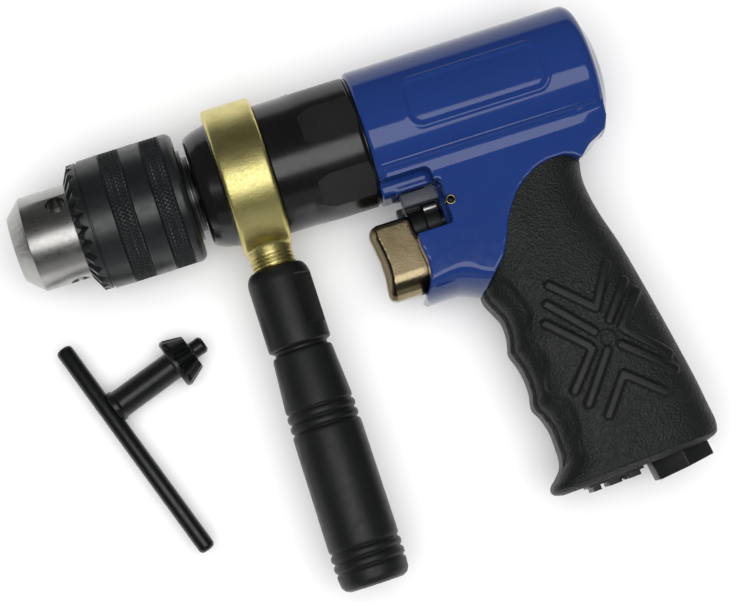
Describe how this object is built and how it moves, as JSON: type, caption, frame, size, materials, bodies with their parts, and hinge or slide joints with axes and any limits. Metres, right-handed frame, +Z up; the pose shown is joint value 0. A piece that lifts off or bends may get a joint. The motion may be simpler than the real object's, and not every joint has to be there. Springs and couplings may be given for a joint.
{
  "type": "air drill",
  "caption": "Pistol-grip pneumatic drill with a keyed chuck, planetary gears, vane motor, reverse lever, swivelling side handle and its chuck key.",
  "frame": {"origin": "centre of the chuck's mouth on the spindle axis", "axes": "+X along the spindle to the rear, +Y towards the top of the tool, +Z up as the tool lies on its side"},
  "size_m": [0.2026, 0.166, 0.0508],
  "materials": {
    "blue_paint": "gloss paint on a casting",
    "black_enamel": "gloss black",
    "grip_rubber": "leather grain",
    "black_oxide": "satin black oxide",
    "bright_steel": "turned",
    "plain_steel": "ground",
    "nickel": "satin nickel plate",
    "cast_brass": "rough casting",
    "black_plastic": "matte",
    "motor_aluminium": "machined",
    "seal_rubber": "matte",
    "felt": "felt",
    "vane_laminate": "phenolic"
  },
  "bodies": {
    "tool": {"gear_case": "black_enamel", "motor_housing": "blue_paint", "grip_sleeve": "grip_rubber", "ring_gear": "plain_steel", "gear_spacer": "plain_steel", "front_end_plate": "motor_aluminium", "motor_cylinder": "plain_steel", "rear_end_plate": "motor_aluminium", "motor_gasket": "seal_rubber", "cylinder_dowel": "plain_steel", "spindle_front_bearing": "plain_steel", "spindle_rear_bearing": "plain_steel", "rotor_front_bearing": "plain_steel", "rotor_rear_bearing": "plain_steel", "inlet_bushing": "black_oxide", "inlet_screen": "plain_steel", "exhaust_deflector": "black_plastic", "silencer_felt": "felt", "roll_pins": "plain_steel", "valve_seat": "cast_brass", "valve_plug": "plain_steel", "throttle_spring": "plain_steel", "stem_seal": "seal_rubber"},
    "spindle": {"spindle": "plain_steel", "spindle_spacer": "plain_steel", "output_planet_pins": "plain_steel", "chuck_body": "bright_steel", "chuck_screw": "plain_steel"},
    "chuck_sleeve": {"chuck_sleeve": "black_oxide", "jaw_nut": "plain_steel"},
    "jaw_1": {"jaw_1": "plain_steel"},
    "jaw_2": {"jaw_2": "plain_steel"},
    "jaw_3": {"jaw_3": "plain_steel"},
    "rotor": {"rotor": "plain_steel", "rotor_vanes": "vane_laminate"},
    "first_carrier": {"first_carrier": "plain_steel", "first_planet_pins": "plain_steel"},
    "output_planet_1": {"output_planet_1": "plain_steel"},
    "output_planet_2": {"output_planet_2": "plain_steel"},
    "output_planet_3": {"output_planet_3": "plain_steel"},
    "first_planet_1": {"first_planet_1": "plain_steel"},
    "first_planet_2": {"first_planet_2": "plain_steel"},
    "first_planet_3": {"first_planet_3": "plain_steel"},
    "trigger": {"trigger": "nickel", "trigger_stem": "plain_steel", "throttle_valve": "seal_rubber"},
    "reverse_lever": {"reverse_lever": "black_plastic", "reverse_valve": "nickel"},
    "side_handle": {"handle_ring": "cast_brass", "handle_stud": "cast_brass"},
    "side_grip": {"side_grip": "black_plastic", "grip_insert": "cast_brass"},
    "chuck_key": {"key_shank": "black_oxide", "key_bar": "black_oxide"}
  },
  "joints": [
    {"name": "rotor_spin", "type": "hinge", "parent": "tool", "child": "rotor", "pos_m": [0.15, 0, 0], "axis": [1, 0, 0], "continuous": true},
    {"name": "spindle_spin", "type": "hinge", "parent": "tool", "child": "spindle", "pos_m": [0.07, 0, 0], "axis": [1, 0, 0], "continuous": true},
    {"name": "first_carrier_spin", "type": "hinge", "parent": "tool", "child": "first_carrier", "pos_m": [0.105, 0, 0], "axis": [1, 0, 0], "continuous": true},
    {"name": "output_planet_1_spin", "type": "hinge", "parent": "spindle", "child": "output_planet_1", "pos_m": [0.099, 0, -0.00945], "axis": [1, 0, 0], "continuous": true},
    {"name": "output_planet_2_spin", "type": "hinge", "parent": "spindle", "child": "output_planet_2", "pos_m": [0.099, 0.00818, 0.00473], "axis": [1, 0, 0], "continuous": true},
    {"name": "output_planet_3_spin", "type": "hinge", "parent": "spindle", "child": "output_planet_3", "pos_m": [0.099, -0.00818, 0.00473], "axis": [1, 0, 0], "continuous": true},
    {"name": "first_planet_1_spin", "type": "hinge", "parent": "first_carrier", "child": "first_planet_1", "pos_m": [0.111, 0, -0.00945], "axis": [1, 0, 0], "continuous": true},
    {"name": "first_planet_2_spin", "type": "hinge", "parent": "first_carrier", "child": "first_planet_2", "pos_m": [0.111, 0.00818, 0.00473], "axis": [1, 0, 0], "continuous": true},
    {"name": "first_planet_3_spin", "type": "hinge", "parent": "first_carrier", "child": "first_planet_3", "pos_m": [0.111, -0.00818, 0.00473], "axis": [1, 0, 0], "continuous": true},
    {"name": "sleeve_turn", "type": "hinge", "parent": "spindle", "child": "chuck_sleeve", "pos_m": [0.04, 0, 0], "axis": [1, 0, 0], "range_deg": [0, 2160]},
    {"name": "jaw_1_slide", "type": "slide", "parent": "spindle", "child": "jaw_1", "axis": [-0.9703, 0, -0.2419], "range_m": [0, 0.02654]},
    {"name": "jaw_2_slide", "type": "slide", "parent": "spindle", "child": "jaw_2", "axis": [-0.9703, 0.2095, 0.121], "range_m": [0, 0.02654]},
    {"name": "jaw_3_slide", "type": "slide", "parent": "spindle", "child": "jaw_3", "axis": [-0.9703, -0.2095, 0.121], "range_m": [0, 0.02654]},
    {"name": "trigger_press", "type": "slide", "parent": "tool", "child": "trigger", "axis": [1, 0, 0], "range_m": [0, 0.006], "stiffness_N_per_m": 900, "springref_m": -0.004, "deforming": ["throttle_spring"]},
    {"name": "reverse_swing", "type": "hinge", "parent": "tool", "child": "reverse_lever", "pos_m": [0.13, -0.0335, 0], "axis": [1, 0, 0], "range_deg": [-10, 10]},
    {"name": "handle_swivel", "type": "hinge", "parent": "tool", "child": "side_handle", "pos_m": [0.07905, 0, 0], "axis": [1, 0, 0], "continuous": true},
    {"name": "grip_screw", "type": "hinge", "parent": "side_handle", "child": "side_grip", "pos_m": [0.07905, -0.05, 0], "axis": [0, -1, 0], "range_deg": [0, 360]},
    {"name": "key_lift", "type": "slide", "parent": "tool", "child": "chuck_key", "axis": [0, 0, 1], "range_m": [0, 0.08]}
  ],
  "couplings": [
    {"joint": "spindle_spin", "follows": "rotor_spin", "ratio": 0.049383},
    {"joint": "first_carrier_spin", "follows": "rotor_spin", "ratio": 0.22222},
    {"joint": "output_planet_1_spin", "follows": "rotor_spin", "ratio": -0.13827},
    {"joint": "output_planet_2_spin", "follows": "rotor_spin", "ratio": -0.13827},
    {"joint": "output_planet_3_spin", "follows": "rotor_spin", "ratio": -0.13827},
    {"joint": "first_planet_1_spin", "follows": "rotor_spin", "ratio": -0.62222},
    {"joint": "first_planet_2_spin", "follows": "rotor_spin", "ratio": -0.62222},
    {"joint": "first_planet_3_spin", "follows": "rotor_spin", "ratio": -0.62222},
    {"joint": "jaw_1_slide", "follows": "sleeve_turn", "m_per_rad": 0.00070258},
    {"joint": "jaw_2_slide", "follows": "sleeve_turn", "m_per_rad": 0.00070258},
    {"joint": "jaw_3_slide", "follows": "sleeve_turn", "m_per_rad": 0.00070258}
  ]
}
